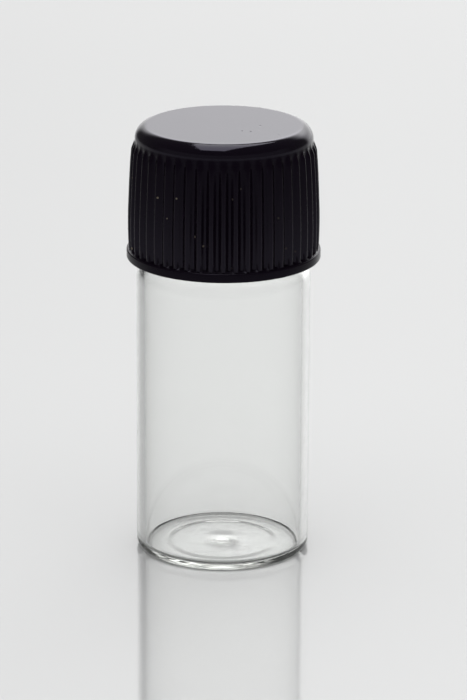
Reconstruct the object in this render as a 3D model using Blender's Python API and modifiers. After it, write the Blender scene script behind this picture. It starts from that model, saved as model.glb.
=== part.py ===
"""A small clear glass sample vial with a ribbed black screw cap and a loose two-layer liner disc.

The vial stands on z = 0 with its axis on world Z. The cap turns on that axis and climbs one pitch a turn.
"""

import math

import bmesh
import bpy
from mathutils import Matrix, Vector

MM = 0.001
TURN = 2.0 * math.pi

# Glass body, in millimetres.
BODY_R = 7.5
WALL = 0.75
BODY_INNER_R = BODY_R - WALL
BASE_RING_R = 6.75
BASE_CORNER = 0.75
PUSH_UP_R = 6.25
PUSH_UP_Z = 0.16
PUSH_UP_MIDDLE = (4.5, 0.08)
FLOOR_MIDDLE_Z = 0.64
FLOOR_RISE_R = 4.5
FLOOR_Z = 0.44
FLOOR_CORNER = 0.6
SHOULDER_START_Z = 23.4
SHOULDER_END_Z = 28.4
SHOULDER_PULL = (2.7, 2.0)
INNER_SHOULDER_START_Z = 23.4
INNER_SHOULDER_END_Z = 27.9
INNER_SHOULDER_PULL = (2.3, 2.2)

# Neck finish, in millimetres.
NECK_R = 5.75
BORE_R = 4.45
LIP_Z = 34.9
LIP_ROUND = 0.35
PITCH = 25.4 / 12.0
VIAL_THREAD_R = 6.45
VIAL_THREAD_START_Z = 29.5
VIAL_THREAD_TURNS = 2.0

# Screw cap, in millimetres.
CAP_TOP_Z = 37.8
CAP_BOTTOM_Z = 26.2
CAP_FLAT_R = 6.45
CAP_CORNER = 1.15
CAP_NECK_Z = 36.1
CAP_ROOF_Z = 36.25
CAP_INNER_R = 6.66
CAP_COUNTERBORE_R = 7.1
CAP_COUNTERBORE_Z = 27.4
CAP_COUNTERBORE_SLOPE = 0.4
CAP_ROOF_CORNER = 0.2
GROOVE_R_TOP = 7.6
GROOVE_R_BOTTOM = 7.82
GROOVE_UPRIGHT_Z = 29.0
BEAD_R = 8.32
BEAD_TOP_Z = 27.0
BEAD_ROUND = 0.13
RIB_COUNT = 48
RIB_WIDTH = 0.6
RIB_BEVEL = 0.13
RIB_LINE = ((7.62, 36.35), (7.91, 35.6), (8.1, 32.5), (8.2, 29.6), (8.17, 26.7))
RIB_ROOT_R = 7.35
CAP_THREAD_R = 5.98
CAP_THREAD_START_Z = VIAL_THREAD_START_Z - PITCH / 2.0
CAP_THREAD_TURNS = 1.75

# Thread section, as shares of the ridge's radial height and half widths in millimetres.
THREAD_SECTION = ((0.0, 0.6), (0.55, 0.42), (1.0, 0.2))
THREAD_ROOT_DEPTH = 0.25
THREAD_FADE = 0.12
THREAD_LOW_END = 0.12
THREAD_START_DEG = 63.0

# Liner disc, in millimetres.
FACING_R = 6.3
FACING_Z = (34.95, 35.2)
BACKING_R = 6.35
BACKING_Z = (35.25, 36.2)
LINER_CORNER = 0.08

# Mesh fineness.
GLASS_STEPS = 56
CAP_STEPS = 48
LINER_STEPS = 48
THREAD_STEPS = 36
CORNER_STEPS = 4
CAP_CORNER_STEPS = 6
LIP_STEPS = 3
SHOULDER_STEPS = 7
SMOOTH_BELOW_DEG = 35
SEAM_MERGE = 0.000001


def clear_scene():
    for obj in list(bpy.data.objects):
        bpy.data.objects.remove(obj, do_unlink=True)


def new_collection(name):
    collection = bpy.data.collections.new(name)
    bpy.context.scene.collection.children.link(collection)
    return collection


def material(name, colour, roughness, transmission=0.0, ior=1.5):
    made = bpy.data.materials.new(name)
    made.use_nodes = True
    shader = made.node_tree.nodes["Principled BSDF"]
    shader.inputs["Base Color"].default_value = (*colour, 1.0)
    shader.inputs["Roughness"].default_value = roughness
    shader.inputs["Transmission Weight"].default_value = transmission
    shader.inputs["IOR"].default_value = ior
    made.diffuse_color = (*colour, 1.0)
    return made


def object_of(bm, name, collection, slot=None):
    """The mesh, scaled from millimetres to metres, as a new object with one material."""
    bmesh.ops.scale(bm, vec=Vector((MM, MM, MM)), verts=bm.verts)
    mesh = bpy.data.meshes.new(name)
    bm.to_mesh(mesh)
    bm.free()
    obj = bpy.data.objects.new(name, mesh)
    collection.objects.link(obj)
    if slot is not None:
        mesh.materials.append(slot)
    return obj


def arc(centre, radius, start_deg, end_deg, steps):
    """Points of a circular arc in the (r, z) half plane."""
    points = []
    for i in range(steps + 1):
        angle = math.radians(start_deg + (end_deg - start_deg) * i / steps)
        points.append((centre[0] + radius * math.cos(angle), centre[1] + radius * math.sin(angle)))
    return points


def s_curve(start, end, pulls, steps):
    """Points of an S that leaves start and reaches end along the axis, without its two ends."""
    sign = math.copysign(1.0, end[1] - start[1])
    handles = (start, (start[0], start[1] + sign * pulls[0]), (end[0], end[1] - sign * pulls[1]), end)
    points = []
    for i in range(1, steps):
        t = i / steps
        shares = ((1 - t) ** 3, 3 * t * (1 - t) ** 2, 3 * t * t * (1 - t), t**3)
        points.append(tuple(sum(s * h[k] for s, h in zip(shares, handles)) for k in (0, 1)))
    return points


def lathe(name, profile, steps, collection, slot=None):
    """The (r, z) profile turned about world Z by a Screw modifier."""
    bm = bmesh.new()
    verts = [bm.verts.new((r, 0.0, z)) for r, z in profile]
    for a, b in zip(verts, verts[1:]):
        bm.edges.new((a, b))
    obj = object_of(bm, name, collection, slot)
    screw = obj.modifiers.new("turn", "SCREW")
    screw.axis = "Z"
    screw.angle = TURN
    screw.steps = steps
    screw.render_steps = steps
    screw.use_merge_vertices = True
    screw.merge_threshold = SEAM_MERGE
    screw.use_smooth_shade = False
    return obj


def thread(name, root_r, crest_r, start_z, turns, collection):
    """A helical ridge that fades out at both ends. Its root is sunk into the wall that it stands on."""
    outward = math.copysign(1.0, crest_r - root_r)
    rings = round(turns * THREAD_STEPS)
    bm = bmesh.new()
    loops = []
    for i in range(rings + 1):
        share = i / rings
        fade = min(1.0, share * turns / THREAD_FADE, (1.0 - share) * turns / THREAD_FADE)
        rise_share = THREAD_LOW_END + (1.0 - THREAD_LOW_END) * math.sin(fade * math.pi / 2.0)
        height = abs(crest_r - root_r) * rise_share
        angle = math.radians(THREAD_START_DEG) + share * turns * TURN
        middle = start_z + share * turns * PITCH
        half = [(-THREAD_ROOT_DEPTH, THREAD_SECTION[0][1])]
        half += [(part * height, width) for part, width in THREAD_SECTION]
        section = [(rise, -width) for rise, width in half] + [(rise, width) for rise, width in reversed(half)]
        ring = []
        for rise, offset in section:
            r = root_r + outward * rise
            ring.append(bm.verts.new((r * math.cos(angle), r * math.sin(angle), middle + offset)))
        loops.append(ring)
    count = len(loops[0])
    for first, second in zip(loops, loops[1:]):
        for k in range(count):
            bm.faces.new((first[k], first[(k + 1) % count], second[(k + 1) % count], second[k]))
    bm.faces.new(loops[0])
    bm.faces.new(loops[-1])
    bmesh.ops.recalc_face_normals(bm, faces=bm.faces)
    return object_of(bm, name, collection)


def boolean(target, other, operation):
    step = target.modifiers.new(f"{operation.lower()} {other.name}", "BOOLEAN")
    step.operation = operation
    step.solver = "EXACT"
    step.object = other


def bake(obj):
    """Replaces the object's mesh by the one that its modifiers make."""
    graph = bpy.context.evaluated_depsgraph_get()
    graph.update()
    mesh = bpy.data.meshes.new_from_object(obj.evaluated_get(graph))
    obj.modifiers.clear()
    obj.data = mesh


def shade(obj):
    for face in obj.data.polygons:
        face.use_smooth = True
    obj.data.set_sharp_from_angle(angle=math.radians(SMOOTH_BELOW_DEG))


def glass_profile():
    """From the floor's middle, up inside, over the lip, down outside and back to the middle of the base."""
    corner_r = BODY_INNER_R - FLOOR_CORNER
    points = [(0.0, FLOOR_MIDDLE_Z), (FLOOR_RISE_R, FLOOR_Z)]
    points += arc((corner_r, FLOOR_Z + FLOOR_CORNER), FLOOR_CORNER, -90, 0, CORNER_STEPS)
    inner_start = (BODY_INNER_R, INNER_SHOULDER_START_Z)
    inner_end = (BORE_R, INNER_SHOULDER_END_Z)
    points += [inner_start]
    points += s_curve(inner_start, inner_end, INNER_SHOULDER_PULL, SHOULDER_STEPS)
    points += [inner_end]
    points += arc((BORE_R + LIP_ROUND, LIP_Z - LIP_ROUND), LIP_ROUND, 180, 90, LIP_STEPS)
    points += arc((NECK_R - LIP_ROUND, LIP_Z - LIP_ROUND), LIP_ROUND, 90, 0, LIP_STEPS)
    outer_start = (NECK_R, SHOULDER_END_Z)
    outer_end = (BODY_R, SHOULDER_START_Z)
    points += [outer_start]
    points += s_curve(outer_start, outer_end, SHOULDER_PULL[::-1], SHOULDER_STEPS)
    points += [outer_end]
    points += arc((BASE_RING_R, BASE_CORNER), BASE_CORNER, 0, -90, CORNER_STEPS)
    points += [(PUSH_UP_R, 0.0), PUSH_UP_MIDDLE, (0.0, PUSH_UP_Z)]
    return points


def cap_profile():
    """From the middle of the top, down outside, round the bead, and up inside to the middle of the roof."""
    points = [(0.0, CAP_TOP_Z)]
    points += arc((CAP_FLAT_R, CAP_TOP_Z - CAP_CORNER), CAP_CORNER, 90, 0, CAP_CORNER_STEPS)
    points += [(GROOVE_R_TOP, CAP_NECK_Z), (GROOVE_R_BOTTOM, GROOVE_UPRIGHT_Z), (GROOVE_R_BOTTOM, BEAD_TOP_Z)]
    points += [(BEAD_R - BEAD_ROUND, BEAD_TOP_Z), (BEAD_R, BEAD_TOP_Z - BEAD_ROUND)]
    points += [(BEAD_R, CAP_BOTTOM_Z + BEAD_ROUND), (BEAD_R - BEAD_ROUND, CAP_BOTTOM_Z)]
    points += [(CAP_COUNTERBORE_R, CAP_BOTTOM_Z), (CAP_COUNTERBORE_R, CAP_COUNTERBORE_Z)]
    points += [(CAP_INNER_R, CAP_COUNTERBORE_Z + CAP_COUNTERBORE_SLOPE)]
    points += [(CAP_INNER_R, CAP_ROOF_Z - CAP_ROOF_CORNER), (CAP_INNER_R - CAP_ROOF_CORNER, CAP_ROOF_Z)]
    points += [(0.0, CAP_ROOF_Z)]
    return points


def rib_bar(name, collection):
    """One upright rib on the +X side, its long edges bevelled."""
    bm = bmesh.new()
    outline = [(RIB_ROOT_R, RIB_LINE[0][1]), *RIB_LINE, (RIB_ROOT_R, RIB_LINE[-1][1])]
    near = [bm.verts.new((r, -RIB_WIDTH / 2.0, z)) for r, z in outline]
    face = bm.faces.new(near)
    made = bmesh.ops.extrude_face_region(bm, geom=[face])
    far = [item for item in made["geom"] if isinstance(item, bmesh.types.BMVert)]
    bmesh.ops.translate(bm, verts=far, vec=(0.0, RIB_WIDTH, 0.0))
    bmesh.ops.recalc_face_normals(bm, faces=bm.faces)
    crest = set(RIB_LINE[1:])
    along = []
    for edge in bm.edges:
        ends = [(round(v.co.x, 4), round(v.co.z, 4)) for v in edge.verts]
        if all(end in crest for end in ends) and ends[0] != ends[1]:
            along.append(edge)
    bmesh.ops.bevel(bm, geom=along, offset=RIB_BEVEL, segments=1, profile=0.5, affect="EDGES")
    return object_of(bm, name, collection)


def add_ribs(cap, helpers):
    """Forty-eight turned copies of one rib, joined to the cap."""
    bar = rib_bar("rib", helpers)
    step = bpy.data.objects.new("rib_step", None)
    step.matrix_world = Matrix.Rotation(TURN / RIB_COUNT, 4, "Z")
    helpers.objects.link(step)
    array = bar.modifiers.new("round the cap", "ARRAY")
    array.count = RIB_COUNT
    array.use_relative_offset = False
    array.use_object_offset = True
    array.offset_object = step
    bpy.context.view_layer.update()
    bake(bar)
    boolean(cap, bar, "UNION")


def disc(name, radius, span, collection, slot):
    bottom, top = span
    points = [(0.0, top), (radius - LINER_CORNER, top), (radius, top - LINER_CORNER)]
    points += [(radius, bottom + LINER_CORNER), (radius - LINER_CORNER, bottom), (0.0, bottom)]
    return lathe(name, points, LINER_STEPS, collection, slot)


def hide_helpers(helpers):
    helpers.hide_render = True
    for obj in helpers.objects:
        obj.hide_render = True
        obj.display_type = "WIRE"


def main():
    clear_scene()
    vial_parts = new_collection("gold_sample_vial")
    helpers = new_collection("cutters")
    clear_glass = material("clear_glass", (0.93, 0.97, 0.95), 0.03, transmission=1.0, ior=1.5)
    black_plastic = material("black_plastic", (0.012, 0.012, 0.014), 0.3)
    white_foam = material("white_foam", (0.82, 0.81, 0.78), 0.8)
    white_film = material("white_film", (0.86, 0.86, 0.85), 0.35)

    glass = lathe("glass_vial", glass_profile(), GLASS_STEPS, vial_parts, clear_glass)
    vial_thread = thread(
        "vial_thread", NECK_R, VIAL_THREAD_R, VIAL_THREAD_START_Z, VIAL_THREAD_TURNS, helpers
    )
    boolean(glass, vial_thread, "UNION")

    cap = lathe("screw_cap", cap_profile(), CAP_STEPS, vial_parts, black_plastic)
    add_ribs(cap, helpers)
    cap_thread = thread(
        "cap_thread", CAP_INNER_R, CAP_THREAD_R, CAP_THREAD_START_Z, CAP_THREAD_TURNS, helpers
    )
    boolean(cap, cap_thread, "UNION")

    backing = disc("liner_backing", BACKING_R, BACKING_Z, vial_parts, white_foam)
    facing = disc("liner_facing", FACING_R, FACING_Z, vial_parts, white_film)

    for obj in (glass, cap, backing, facing):
        bake(obj)
        shade(obj)
    hide_helpers(helpers)


main()
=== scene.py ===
import math

import bmesh
import bpy
from mathutils import Matrix, Vector


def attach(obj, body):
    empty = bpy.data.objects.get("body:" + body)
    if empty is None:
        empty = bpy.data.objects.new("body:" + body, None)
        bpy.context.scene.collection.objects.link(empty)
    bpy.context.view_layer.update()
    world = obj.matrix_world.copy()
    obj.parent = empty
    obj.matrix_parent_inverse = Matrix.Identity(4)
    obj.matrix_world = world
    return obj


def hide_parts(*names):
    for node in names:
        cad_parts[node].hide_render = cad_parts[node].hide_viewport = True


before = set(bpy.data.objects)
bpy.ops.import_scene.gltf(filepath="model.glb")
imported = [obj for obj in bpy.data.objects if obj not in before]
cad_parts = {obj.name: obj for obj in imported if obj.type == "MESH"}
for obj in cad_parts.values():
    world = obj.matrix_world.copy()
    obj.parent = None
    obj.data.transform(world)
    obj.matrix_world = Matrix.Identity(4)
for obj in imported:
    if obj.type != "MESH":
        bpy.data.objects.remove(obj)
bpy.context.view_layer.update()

MM = 0.001
TURN = 2.0 * math.pi

# Glass body, in millimetres.
BODY_R = 7.5
BODY_INNER_R = 6.75
BASE_RING_R = 6.8
BASE_CORNER = 0.7
HEEL_R = 6.25
HEEL_GAP = 0.03
PUSH_UP_R = 4.95
PUSH_UP_EDGE = 0.7
PUSH_UP_LIP = 0.038
PUSH_UP_Z = 0.1
FLOOR_Z = 0.44
FLOOR_CORNER = 0.55
FLOOR_RISE = 0.1
FLOOR_RISE_R = 4.5
NUB_R = 2.2
NUB_Z = 0.14
SHOULDER_START_Z = 24.2  # outside and inside
SHOULDER_END_Z = 28.4
SHOULDER_PULL = (2.7, 2.0)
INNER_SHOULDER_END_Z = 27.9
INNER_SHOULDER_PULL = (2.3, 2.2)

# Neck finish, in millimetres.
NECK_R = 5.75
BORE_R = 4.45
LIP_Z = 34.9
LIP_ROUND = 0.35
PITCH = 25.4 / 12.0
VIAL_THREAD_HEIGHT = 0.7
VIAL_THREAD_START_Z = 29.5
VIAL_THREAD_TURNS = 2.0
THREAD_START_DEG = 63.0
THREAD_HALF_WIDTH = 0.6
THREAD_FADE = 0.12

# Screw cap, in millimetres.
CAP_TOP_Z = 37.8
CAP_BOTTOM_Z = 26.2
CAP_FLAT_R = 6.45
CAP_TOP_RINGS = (3.0, 6.2)
CAP_CORNER = 1.15
CAP_NECK_Z = 36.1  # where the ribs run out into the shoulder
CAP_ROOF_Z = 36.25
CAP_INNER_R = 6.66
CAP_COUNTERBORE_R = 7.1
CAP_COUNTERBORE_Z = 27.4
CAP_THREAD_HEIGHT = -0.68
CAP_THREAD_START_Z = VIAL_THREAD_START_Z - PITCH / 2.0
CAP_THREAD_TURNS = 1.75
GROOVE_R_TOP = 7.6
GROOVE_R_BOTTOM = 7.82
GROOVE_TAPER_END_Z = 29.0
BEAD_R = 8.32
BEAD_TOP_Z = 27.0
BEAD_EDGE = 0.13
BEAD_SLOPE = (0.3, 0.04)
BEAD_INNER_R = 7.7
MOUTH_CHAMFER = 0.06
COUNTERBORE_RUN = 0.4
ROOF_CORNER = 0.2
RIB_COUNT = 48
# Half a rib, from its middle outwards: share of the pitch, share of the rib's height.
RIB_HALF = tuple((0.06 * i, 0.5 + 0.5 * math.cos(TURN * 0.06 * i)) for i in range(8))
# Height and radius of a rib's crest, down the skirt.
RIB_CREST = (
    (36.35, 7.62), (36.1, 7.74), (35.85, 7.85), (35.6, 7.91), (34.6, 7.99), (33.6, 8.05), (32.4, 8.105),
    (31.3, 8.15), (30.4, 8.185), (29.6, 8.2), (28.6, 8.2), (27.8, 8.18), (27.15, 8.165),
)

# Liner, in millimetres.
FACING_R = 6.3
FACING_Z = (34.95, 35.2)
BACKING_R = 6.35
BACKING_Z = (35.25, 36.2)
LINER_CORNER = 0.08

# Camera and studio. Lengths in metres, angles in degrees, lamp power in watts.
CAMERA_PLACE = (0.00089, -0.30754, 0.11706)
CAMERA_DOWN = 17.907
CAMERA_ROLL = 0.3
CAMERA_LENS_MM = 192.24
STRIP_PLACE = (-0.035, 0.12, 0.7)
STRIP_AIM = (-0.065, 0.0, 0.02)
STRIP_SIZE = (0.33, 0.9)
STRIP_POWER = 2.38
OVERHEAD_PLACE = (0.0, 0.0, 1.2)
OVERHEAD_AIM = (0.0, 0.0, 0.02)
OVERHEAD_SIZE = (2.4, 2.4)
OVERHEAD_POWER = 17.9
FLOOR_HALF_SIZE = 6.0
FLOOR_DROP = 0.00002  # keeps the floor clear of the ring that the glass stands on
LIGHT_BOUNCES = 24  # light passes many times inside the glass base
ROOM_LIGHT = 0.08
# The sky's light panels. Azimuth 0 is behind the object. Each has its left, right, lower and upper edges as
# (from, to) fades, then its strength.
SKY_PANELS = (
    ((-29.0, -11.0), (38.0, 50.0), (-8.0, -4.0), (24.0, 40.0), 0.97),
    ((-20.0, 6.0), (29.0, 46.0), (-8.0, -4.0), (24.0, 40.0), 0.38),
    ((-40.0, 0.0), (26.0, 42.0), (12.0, 26.0), (24.0, 40.0), 1.0),
    ((-181.0, -180.0), (-105.0, -80.0), (-8.0, -4.0), (20.0, 28.0), 0.1),
    ((80.0, 105.0), (180.0, 181.0), (-8.0, -4.0), (20.0, 28.0), 0.1),
)

# Finishes. Colours are linear, and heights and places are in metres.
GLASS_IOR = 1.5
GLASS_TINTS = ((0.985, 0.992, 0.985, 1.0), (0.997, 1.0, 0.997, 1.0))
GLASS_DEPTH_COLOUR = (0.91, 0.975, 0.83, 1.0)
GLASS_DEPTH_DENSITY = 18.0
PLASTIC_IOR = 1.5
CAP_BLACKS = ((0.0044, 0.0022, 0.0058, 1.0), (0.0064, 0.0034, 0.0082, 1.0))
CAP_GLOSS_TINT = (0.82, 0.78, 1.0, 1.0)
DUST_COLOUR = (0.42, 0.36, 0.27, 1.0)
TOP_STARTS = (0.0361, 0.0365)
DUST_SIDE_FADE = (0.002, -0.006)
DUST_TOP_FADE = (0.0361, 0.0359)
DUST_BOTTOM_FADE = (0.0271, 0.0275)
SKIRT_SHINE_FADE = (0.035, 0.0275)
BEAD_SHINE_FADE = (0.0268, 0.0274)
SHOULDER_SHINE_FADE = (0.0364, 0.0368)
TOP_SHINE_FADE = (0.0377, 0.03779)
FOAM_COLOURS = ((0.7, 0.69, 0.65, 1.0), (0.82, 0.81, 0.78, 1.0))
FILM_COLOURS = ((0.8, 0.8, 0.79, 1.0), (0.88, 0.88, 0.87, 1.0))
FLOOR_COLOURS = ((0.76, 0.765, 0.765, 1.0), (0.79, 0.795, 0.795, 1.0))
FLOOR_ROUGHNESS = 0.04

# How finely the pieces are divided.
GLASS_STEPS = 256
WALL_SPACING = 2.5
BORE_SPACING = 1.2
THREAD_SPACING = 0.1
CAP_THREAD_SPACING = 0.11
FLOOR_RINGS = 40
CAP_SHARP_DEG = 42.0
CAP_INNER_STEPS = 192
LINER_STEPS = 128


def arc(centre, radius, start_deg, end_deg, steps):
    """Points on a round corner, with both its ends."""
    points = []
    for i in range(steps + 1):
        angle = math.radians(start_deg + (end_deg - start_deg) * i / steps)
        points.append((centre[0] + radius * math.cos(angle), centre[1] + radius * math.sin(angle)))
    return points


def s_curve(start, end, pulls, steps):
    """Points on a curve that is upright at both ends, without the two ends."""
    sign = math.copysign(1.0, end[1] - start[1])
    handles = (start, (start[0], start[1] + sign * pulls[0]), (end[0], end[1] - sign * pulls[1]), end)
    points = []
    for i in range(1, steps):
        t = i / steps
        shares = ((1 - t) ** 3, 3 * t * (1 - t) ** 2, 3 * t * t * (1 - t), t**3)
        points.append(tuple(sum(s * h[k] for s, h in zip(shares, handles)) for k in (0, 1)))
    return points


def upright(r, start_z, end_z, spacing):
    """Points at one radius, without the two ends."""
    count = max(1, round(abs(end_z - start_z) / spacing))
    return [(r, start_z + (end_z - start_z) * i / count) for i in range(1, count)]


def smooth(share):
    """An eased step from 0 to 1."""
    share = min(1.0, max(0.0, share))
    return share * share * (3.0 - 2.0 * share)


def thread_rise(angle, z, start_z, turns, height):
    """How far the helical ridge stands out of its wall at this place."""
    best = 0.0
    lead = (angle - math.radians(THREAD_START_DEG)) % TURN / TURN
    for lap in range(int(math.ceil(turns)) + 1):
        along = lead + lap
        if along > turns:
            break
        off = abs(z - start_z - along * PITCH)
        if off < THREAD_HALF_WIDTH:
            fade = smooth(along / THREAD_FADE) * smooth((turns - along) / THREAD_FADE)
            best = fade * (0.5 + 0.5 * math.cos(math.pi * off / THREAD_HALF_WIDTH)) ** 0.8
    return best * height


def uniform_angles(steps):
    return [TURN * i / steps for i in range(steps)]


def rib_angles():
    """Angles round the cap, closer together on each rib's corners, and the rib's height share at each."""
    half = [(-u, h) for u, h in reversed(RIB_HALF[1:])] + list(RIB_HALF) + [(0.5, 0.0)]
    angles, shares = [], []
    for rib in range(RIB_COUNT):
        for u, h in half:
            angles.append(TURN * (rib + u) / RIB_COUNT)
            shares.append(h)
    return angles, shares


def skin(name, rings):
    """A closed surface from rings of points in millimetres. A ring of one point is on the axis."""
    bm = bmesh.new()
    made = [[bm.verts.new(Vector(p) * MM) for p in ring] for ring in rings]
    for first, second in zip(made, made[1:]):
        a, b = len(first), len(second)
        if a == 1 or b == 1:
            rim, tip = (second, first[0]) if a == 1 else (first, second[0])
            for k in range(len(rim)):
                bm.faces.new((tip, rim[k], rim[(k + 1) % len(rim)]))
        elif a >= b:
            step = a // b
            for k in range(b):
                run = [first[(k * step + i) % a] for i in range(step + 1)]
                bm.faces.new([*run, second[(k + 1) % b], second[k]])
        else:
            step = b // a
            for k in range(a):
                run = [second[(k * step + i) % b] for i in range(step + 1)]
                bm.faces.new([*run, first[(k + 1) % a], first[k]])
    bmesh.ops.recalc_face_normals(bm, faces=bm.faces)
    mesh = bpy.data.meshes.new(name)
    bm.to_mesh(mesh)
    bm.free()
    obj = bpy.data.objects.new(name, mesh)
    bpy.context.scene.collection.objects.link(obj)
    for face in mesh.polygons:
        face.use_smooth = True
    return obj


def ring(r, z, angles, rise=None):
    """Points round the axis at one height, each moved outwards by its rise."""
    if r == 0.0:
        return [(0.0, 0.0, z)]
    points = []
    for i, angle in enumerate(angles):
        out = r + (rise(i, angle, z) if rise else 0.0)
        points.append((out * math.cos(angle), out * math.sin(angle), z))
    return points


def mound(r, radius, height):
    """Height of a round-topped rise that dies out at the radius."""
    return height * (1.0 - smooth(r / radius))


def floor_profile(edge_r):
    """The floor inside, from the middle out: a slight rise and a nub in the middle."""
    radii = [edge_r * i / FLOOR_RINGS for i in range(FLOOR_RINGS)]
    return [(r, FLOOR_Z + mound(r, FLOOR_RISE_R, FLOOR_RISE) + mound(r, NUB_R, NUB_Z)) for r in radii]


def push_up_profile():
    """Under the base, from the heel in: a narrow gap, a step at the push-up's edge, then a slow rise."""
    steps = 2 * FLOOR_RINGS
    radii = [HEEL_R * (1.0 - i / steps) for i in range(steps + 1)]
    points = []
    for r in radii:
        z = HEEL_GAP * (1.0 - smooth((r - PUSH_UP_R) / (HEEL_R - PUSH_UP_R)))
        z += PUSH_UP_LIP * (1.0 - smooth((r - PUSH_UP_R + PUSH_UP_EDGE) / PUSH_UP_EDGE))
        z += mound(r, PUSH_UP_R, PUSH_UP_Z)
        points.append((r, z))
    return points


def glass_rings():
    angles = uniform_angles(GLASS_STEPS)
    corner_r = BODY_INNER_R - FLOOR_CORNER
    inside = floor_profile(corner_r)
    inside += arc((corner_r, FLOOR_Z + FLOOR_CORNER), FLOOR_CORNER, -90, 0, 14)
    inside += upright(BODY_INNER_R, FLOOR_Z + FLOOR_CORNER, SHOULDER_START_Z, WALL_SPACING)
    inner_start = (BODY_INNER_R, SHOULDER_START_Z)
    inner_end = (BORE_R, INNER_SHOULDER_END_Z)
    inside += [inner_start, *s_curve(inner_start, inner_end, INNER_SHOULDER_PULL, 28), inner_end]
    inside += upright(BORE_R, INNER_SHOULDER_END_Z, LIP_Z - LIP_ROUND, BORE_SPACING)
    inside += arc((BORE_R + LIP_ROUND, LIP_Z - LIP_ROUND), LIP_ROUND, 180, 90, 8)
    inside += arc((NECK_R - LIP_ROUND, LIP_Z - LIP_ROUND), LIP_ROUND, 90, 0, 8)
    neck = upright(NECK_R, LIP_Z - LIP_ROUND, SHOULDER_END_Z, THREAD_SPACING)
    outer_start = (NECK_R, SHOULDER_END_Z)
    outer_end = (BODY_R, SHOULDER_START_Z)
    outside = [outer_start, *s_curve(outer_start, outer_end, SHOULDER_PULL[::-1], 32), outer_end]
    outside += upright(BODY_R, SHOULDER_START_Z, BASE_CORNER, WALL_SPACING)
    outside += arc((BASE_RING_R, BASE_CORNER), BASE_CORNER, 0, -90, 14)
    outside += push_up_profile()

    def ridge(_, angle, z):
        return thread_rise(angle, z, VIAL_THREAD_START_Z, VIAL_THREAD_TURNS, VIAL_THREAD_HEIGHT)

    rings = [ring(r, z, angles) for r, z in inside]
    rings += [ring(r, z, angles, ridge) for r, z in neck]
    rings += [ring(r, z, angles) for r, z in outside]
    return rings


def groove_r(z):
    share = (CAP_NECK_Z - z) / (CAP_NECK_Z - GROOVE_TAPER_END_Z)
    return GROOVE_R_TOP + (GROOVE_R_BOTTOM - GROOVE_R_TOP) * min(1.0, max(0.0, share))


def cap_rings():
    angles, shares = rib_angles()
    inner_angles = uniform_angles(CAP_INNER_STEPS)
    top = [(0.0, CAP_TOP_Z), *((r, CAP_TOP_Z) for r in CAP_TOP_RINGS)]
    top += arc((CAP_FLAT_R, CAP_TOP_Z - CAP_CORNER), CAP_CORNER, 90, 0, 16)
    rings = [ring(r, z, angles) for r, z in top]
    for z, crest in RIB_CREST:
        floor = groove_r(z)
        rings.append(ring(floor, z, angles, lambda i, a, _, lift=crest - floor: max(0.0, lift) * shares[i]))
    edge_r = BEAD_R - BEAD_EDGE
    bead = [(GROOVE_R_BOTTOM + BEAD_SLOPE[0], BEAD_TOP_Z + BEAD_SLOPE[1]), (edge_r, BEAD_TOP_Z)]
    bead += arc((edge_r, BEAD_TOP_Z - BEAD_EDGE), BEAD_EDGE, 75, 0, 5)
    bead += arc((edge_r, CAP_BOTTOM_Z + BEAD_EDGE), BEAD_EDGE, 0, -90, 6)
    rings += [ring(r, z, angles) for r, z in bead]
    inside = [(BEAD_INNER_R, CAP_BOTTOM_Z), (CAP_COUNTERBORE_R + MOUTH_CHAMFER, CAP_BOTTOM_Z)]
    inside += [(CAP_COUNTERBORE_R, CAP_BOTTOM_Z + MOUTH_CHAMFER), (CAP_COUNTERBORE_R, CAP_COUNTERBORE_Z)]
    inside += [(CAP_INNER_R, CAP_COUNTERBORE_Z + COUNTERBORE_RUN)]
    corner_z = CAP_ROOF_Z - ROOF_CORNER
    wall = upright(CAP_INNER_R, CAP_COUNTERBORE_Z + COUNTERBORE_RUN, corner_z, CAP_THREAD_SPACING)
    roof = arc((CAP_INNER_R - ROOF_CORNER, corner_z), ROOF_CORNER, 0, 90, 5)
    roof += [(CAP_TOP_RINGS[0], CAP_ROOF_Z), (0.0, CAP_ROOF_Z)]

    def ridge(_, angle, z):
        return thread_rise(angle, z, CAP_THREAD_START_Z, CAP_THREAD_TURNS, CAP_THREAD_HEIGHT)

    rings += [ring(r, z, inner_angles) for r, z in inside]
    rings += [ring(r, z, inner_angles, ridge) for r, z in wall]
    rings += [ring(r, z, inner_angles) for r, z in roof]
    return rings


def disc_rings(radius, span):
    bottom, top = span
    angles = uniform_angles(LINER_STEPS)
    inner = radius - LINER_CORNER
    profile = [(0.0, top), (radius * 0.5, top)]
    profile += arc((inner, top - LINER_CORNER), LINER_CORNER, 90, 0, 4)
    profile += arc((inner, bottom + LINER_CORNER), LINER_CORNER, 0, -90, 4)
    profile += [(radius * 0.5, bottom), (0.0, bottom)]
    return [ring(r, z, angles) for r, z in profile]


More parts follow.
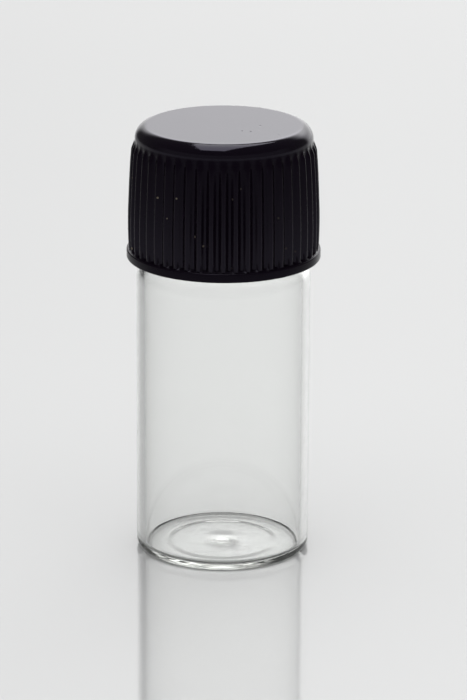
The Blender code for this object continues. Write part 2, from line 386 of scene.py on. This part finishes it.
class Nodes:
    """A material's nodes, added one at a time."""

    def __init__(self, tree):
        self.tree = tree

    def add(self, kind, inputs=None, **settings):
        node = self.tree.nodes.new(kind)
        for key, value in settings.items():
            setattr(node, key, value)
        for key, value in (inputs or {}).items():
            if isinstance(value, bpy.types.NodeSocket):
                self.tree.links.new(value, node.inputs[key])
            else:
                node.inputs[key].default_value = value
        return node

    def maths(self, operation, a, b=0.5, c=0.5):
        return self.add("ShaderNodeMath", {0: a, 1: b, 2: c}, operation=operation).outputs[0]

    def ramp(self, value, low, high, to_low=0.0, to_high=1.0, kind="SMOOTHSTEP"):
        inputs = {"Value": value, "From Min": low, "From Max": high, "To Min": to_low, "To Max": to_high}
        return self.add("ShaderNodeMapRange", inputs, interpolation_type=kind).outputs["Result"]

    def noise(self, where, scale, detail=2.0, roughness=0.5):
        inputs = {"Vector": where, "Scale": scale, "Detail": detail, "Roughness": roughness}
        return self.add("ShaderNodeTexNoise", inputs).outputs["Fac"]

    def blend(self, share, first, second):
        node = self.add("ShaderNodeMix", {"Factor": share}, data_type="RGBA")
        for socket, value in zip([s for s in node.inputs if s.type == "RGBA"], (first, second)):
            if isinstance(value, bpy.types.NodeSocket):
                self.tree.links.new(value, socket)
            else:
                socket.default_value = value
        return next(s for s in node.outputs if s.type == "RGBA")


def new_material(name):
    made = bpy.data.materials.new(name)
    made.use_nodes = True
    return made, Nodes(made.node_tree), made.node_tree.nodes["Principled BSDF"]


def object_coordinates(nodes):
    return nodes.add("ShaderNodeTexCoord").outputs["Object"]


def clear_glass():
    """Clear glass, faintly green in depth, with slight upright waves and a hint of film."""
    made, nodes, shader = new_material("clear_glass_fine")
    where = object_coordinates(nodes)
    film = nodes.noise(where, 350.0, 4.0, 0.6)
    grain = nodes.noise(where, 5200.0, 2.0, 0.5)
    upright_streaks = {"Vector": where, "Scale": (900.0, 900.0, 25.0)}
    streaked = nodes.add("ShaderNodeMapping", upright_streaks).outputs["Vector"]
    draw = nodes.noise(streaked, 1.0, 2.0, 0.5)
    hazy = nodes.ramp(film, 0.45, 0.75, 0.0, 0.02)
    rough = nodes.maths("MULTIPLY", hazy, nodes.ramp(grain, 0.3, 0.7, 0.6, 1.0))
    bump = nodes.add("ShaderNodeBump", {"Height": draw, "Strength": 0.015, "Distance": 0.0001})
    tint = nodes.blend(film, *GLASS_TINTS)
    links = made.node_tree.links
    links.new(tint, shader.inputs["Base Color"])
    links.new(rough, shader.inputs["Roughness"])
    links.new(bump.outputs["Normal"], shader.inputs["Normal"])
    shader.inputs["Transmission Weight"].default_value = 1.0
    shader.inputs["IOR"].default_value = GLASS_IOR
    depth = {"Color": GLASS_DEPTH_COLOUR, "Density": GLASS_DEPTH_DENSITY}
    inside = nodes.add("ShaderNodeVolumeAbsorption", depth)
    links.new(inside.outputs["Volume"], made.node_tree.nodes["Material Output"].inputs["Volume"])
    return made


def black_plastic():
    """Glossy on top and duller down the skirt, with specks of dust on one side and a few marks on top."""
    made, nodes, shader = new_material("black_plastic_moulded")
    where = object_coordinates(nodes)
    split = nodes.add("ShaderNodeSeparateXYZ", {"Vector": where})
    across, height = split.outputs["X"], split.outputs["Z"]
    on_top = nodes.ramp(height, *TOP_STARTS)
    cloud = nodes.noise(where, 420.0, 4.0, 0.6)
    fine = nodes.noise(where, 6000.0, 3.0, 0.6)

    cells = nodes.add("ShaderNodeTexVoronoi", {"Vector": where, "Scale": 1300.0, "Randomness": 1.0})
    pick = nodes.add("ShaderNodeSeparateXYZ", {"Vector": cells.outputs["Color"]}).outputs["X"]
    near = nodes.ramp(cells.outputs["Distance"], 0.1, 0.17, 1.0, 0.0)
    speck = nodes.maths("MULTIPLY", near, nodes.ramp(pick, 0.78, 0.79))
    dust = nodes.maths("MULTIPLY", speck, nodes.ramp(across, *DUST_SIDE_FADE, 0.15, 1.0))
    dust = nodes.maths("MULTIPLY", dust, nodes.ramp(height, *DUST_TOP_FADE))
    dust = nodes.maths("MULTIPLY", dust, nodes.ramp(height, *DUST_BOTTOM_FADE))
    mark = nodes.maths("MULTIPLY", nodes.maths("MULTIPLY", speck, on_top), nodes.ramp(pick, 0.9, 0.91))

    base = nodes.blend(cloud, *CAP_BLACKS)
    colour = nodes.blend(nodes.maths("MULTIPLY", dust, 0.5), base, DUST_COLOUR)

    skirt_rough = nodes.ramp(nodes.maths("MULTIPLY_ADD", fine, 0.3, cloud), 0.3, 1.0, 0.18, 0.28)
    top_rough = nodes.ramp(cloud, 0.35, 0.7, 0.05, 0.09)
    by_height = {"Factor": on_top, "A": skirt_rough, "B": top_rough}
    rough = nodes.add("ShaderNodeMix", by_height).outputs["Result"]
    rough = nodes.maths("MAXIMUM", rough, nodes.maths("MULTIPLY", dust, 0.8))
    rough = nodes.maths("MAXIMUM", rough, nodes.maths("MULTIPLY", mark, 0.6))

    skirt_shine = nodes.ramp(height, *SKIRT_SHINE_FADE, 0.14, 0.28)
    bead_shine = nodes.ramp(height, *BEAD_SHINE_FADE, 0.13, 0.5)
    shoulder_shine = nodes.ramp(height, *SHOULDER_SHINE_FADE, 0.0, 0.42)
    top_shine = nodes.ramp(height, *TOP_SHINE_FADE, 0.0, 1.0)
    shine = nodes.maths("MINIMUM", skirt_shine, bead_shine)
    shine = nodes.maths("MAXIMUM", shine, shoulder_shine)
    shine = nodes.maths("MAXIMUM", shine, top_shine)

    grain = {"Height": fine, "Strength": 0.12, "Distance": 0.00002}
    grained = nodes.add("ShaderNodeBump", grain).outputs["Normal"]
    raised = {"Height": speck, "Strength": 0.3, "Distance": 0.00002, "Normal": grained}
    bump = nodes.add("ShaderNodeBump", raised)

    links = made.node_tree.links
    links.new(colour, shader.inputs["Base Color"])
    links.new(rough, shader.inputs["Roughness"])
    links.new(shine, shader.inputs["Specular IOR Level"])
    links.new(bump.outputs["Normal"], shader.inputs["Normal"])
    shader.inputs["Specular Tint"].default_value = CAP_GLOSS_TINT
    shader.inputs["IOR"].default_value = PLASTIC_IOR
    return made


def liner_material(name, low, high, cell_scale, rough, pit_mm):
    """A pale plastic, mottled between two colours, with a cellular bump."""
    made, nodes, shader = new_material(name)
    where = object_coordinates(nodes)
    cells = nodes.add("ShaderNodeTexVoronoi", {"Vector": where, "Scale": cell_scale})
    cloud = nodes.noise(where, 300.0, 3.0, 0.6)
    colour = nodes.blend(cloud, low, high)
    roughness = nodes.ramp(cloud, 0.3, 0.7, rough[0], rough[1])
    pitted = {"Height": cells.outputs["Distance"], "Strength": 0.4, "Distance": pit_mm * MM}
    bump = nodes.add("ShaderNodeBump", pitted)
    links = made.node_tree.links
    links.new(colour, shader.inputs["Base Color"])
    links.new(roughness, shader.inputs["Roughness"])
    links.new(bump.outputs["Normal"], shader.inputs["Normal"])
    return made


def floor_material():
    made, nodes, shader = new_material("pale_floor")
    where = object_coordinates(nodes)
    cloud = nodes.noise(where, 9.0, 3.0, 0.5)
    colour = nodes.blend(cloud, *FLOOR_COLOURS)
    links = made.node_tree.links
    links.new(colour, shader.inputs["Base Color"])
    shader.inputs["Roughness"].default_value = FLOOR_ROUGHNESS
    shader.inputs["IOR"].default_value = PLASTIC_IOR
    return made


def add_floor():
    bm = bmesh.new()
    bmesh.ops.create_grid(bm, x_segments=1, y_segments=1, size=FLOOR_HALF_SIZE)
    mesh = bpy.data.meshes.new("floor")
    bm.to_mesh(mesh)
    bm.free()
    mesh.materials.append(floor_material())
    floor = bpy.data.objects.new("floor", mesh)
    floor.location.z = -FLOOR_DROP
    bpy.context.scene.collection.objects.link(floor)


def soft_panel(nodes, azimuth, elevation, left, right, low, high, strength):
    """A light panel in the sky. Each of its four edges is a (from, to) fade in degrees."""
    share = nodes.ramp(azimuth, *left)
    share = nodes.maths("MULTIPLY", share, nodes.ramp(azimuth, *reversed(right)))
    share = nodes.maths("MULTIPLY", share, nodes.ramp(elevation, *low))
    share = nodes.maths("MULTIPLY", share, nodes.ramp(elevation, *reversed(high)))
    return nodes.maths("MULTIPLY", share, strength)


def add_world():
    """A dim room with the sky's light panels added to it."""
    world = bpy.data.worlds.new("studio")
    bpy.context.scene.world = world
    world.use_nodes = True
    nodes = Nodes(world.node_tree)
    background = world.node_tree.nodes["Background"]
    facing = nodes.add("ShaderNodeTexCoord").outputs["Generated"]
    split = nodes.add("ShaderNodeSeparateXYZ", {"Vector": facing})
    x, y, z = (split.outputs[k] for k in "XYZ")
    azimuth = nodes.maths("MULTIPLY", nodes.maths("ARCTAN2", x, y), math.degrees(1.0))
    elevation = nodes.maths("MULTIPLY", nodes.maths("ARCSINE", z), math.degrees(1.0))
    light = ROOM_LIGHT
    for panel in SKY_PANELS:
        light = nodes.maths("ADD", light, soft_panel(nodes, azimuth, elevation, *panel))
    world.node_tree.links.new(light, background.inputs["Strength"])
    background.inputs["Color"].default_value = (1.0, 1.0, 1.0, 1.0)


def add_lamp(name, place, aim, size, power):
    data = bpy.data.lights.new(name, "AREA")
    data.shape = "RECTANGLE"
    data.size, data.size_y = size
    data.energy = power
    lamp = bpy.data.objects.new(name, data)
    lamp.location = place
    lamp.rotation_euler = (Vector(aim) - Vector(place)).to_track_quat("-Z", "Y").to_euler()
    lamp.visible_camera = False
    bpy.context.scene.collection.objects.link(lamp)
    return lamp


def add_lamps():
    """A strip that shows only as a highlight on the cap and glass, and an overhead that shows as none."""
    strip = add_lamp("top_strip", STRIP_PLACE, STRIP_AIM, STRIP_SIZE, STRIP_POWER)
    strip.visible_diffuse = False
    strip.visible_transmission = False
    overhead = add_lamp("overhead", OVERHEAD_PLACE, OVERHEAD_AIM, OVERHEAD_SIZE, OVERHEAD_POWER)
    overhead.visible_glossy = False


def set_light_paths():
    paths = bpy.context.scene.cycles
    paths.max_bounces = LIGHT_BOUNCES
    paths.glossy_bounces = LIGHT_BOUNCES
    paths.transmission_bounces = LIGHT_BOUNCES


def add_camera():
    data = bpy.data.cameras.new("camera")
    data.sensor_width = 36.0
    data.lens = CAMERA_LENS_MM
    data.clip_start = 0.02
    camera = bpy.data.objects.new("camera", data)
    camera.location = CAMERA_PLACE
    tilt = Matrix.Rotation(math.radians(90.0 - CAMERA_DOWN), 3, "X")
    camera.rotation_euler = (tilt @ Matrix.Rotation(math.radians(CAMERA_ROLL), 3, "Z")).to_euler()
    bpy.context.scene.collection.objects.link(camera)
    bpy.context.scene.camera = camera


def add_object():
    glass = skin("vial_glass", glass_rings())
    glass.data.materials.append(clear_glass())
    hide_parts("glass_vial")
    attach(glass, "vial")

    cap = skin("cap_moulding", cap_rings())
    cap.data.set_sharp_from_angle(angle=math.radians(CAP_SHARP_DEG))
    cap.data.materials.append(black_plastic())
    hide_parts("screw_cap")
    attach(cap, "cap")

    backing = skin("liner_foam", disc_rings(BACKING_R, BACKING_Z))
    backing.data.materials.append(
        liner_material("white_foam_cells", *FOAM_COLOURS, cell_scale=6000.0, rough=(0.7, 0.9), pit_mm=0.04)
    )
    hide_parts("liner_backing")
    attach(backing, "liner")

    facing = skin("liner_film", disc_rings(FACING_R, FACING_Z))
    facing.data.materials.append(
        liner_material("white_film_smooth", *FILM_COLOURS, cell_scale=2500.0, rough=(0.25, 0.4), pit_mm=0.01)
    )
    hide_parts("liner_facing")
    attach(facing, "liner")


add_object()
add_floor()
add_world()
add_lamps()
add_camera()
set_light_paths()
bpy.context.scene.view_settings.view_transform = "Standard"
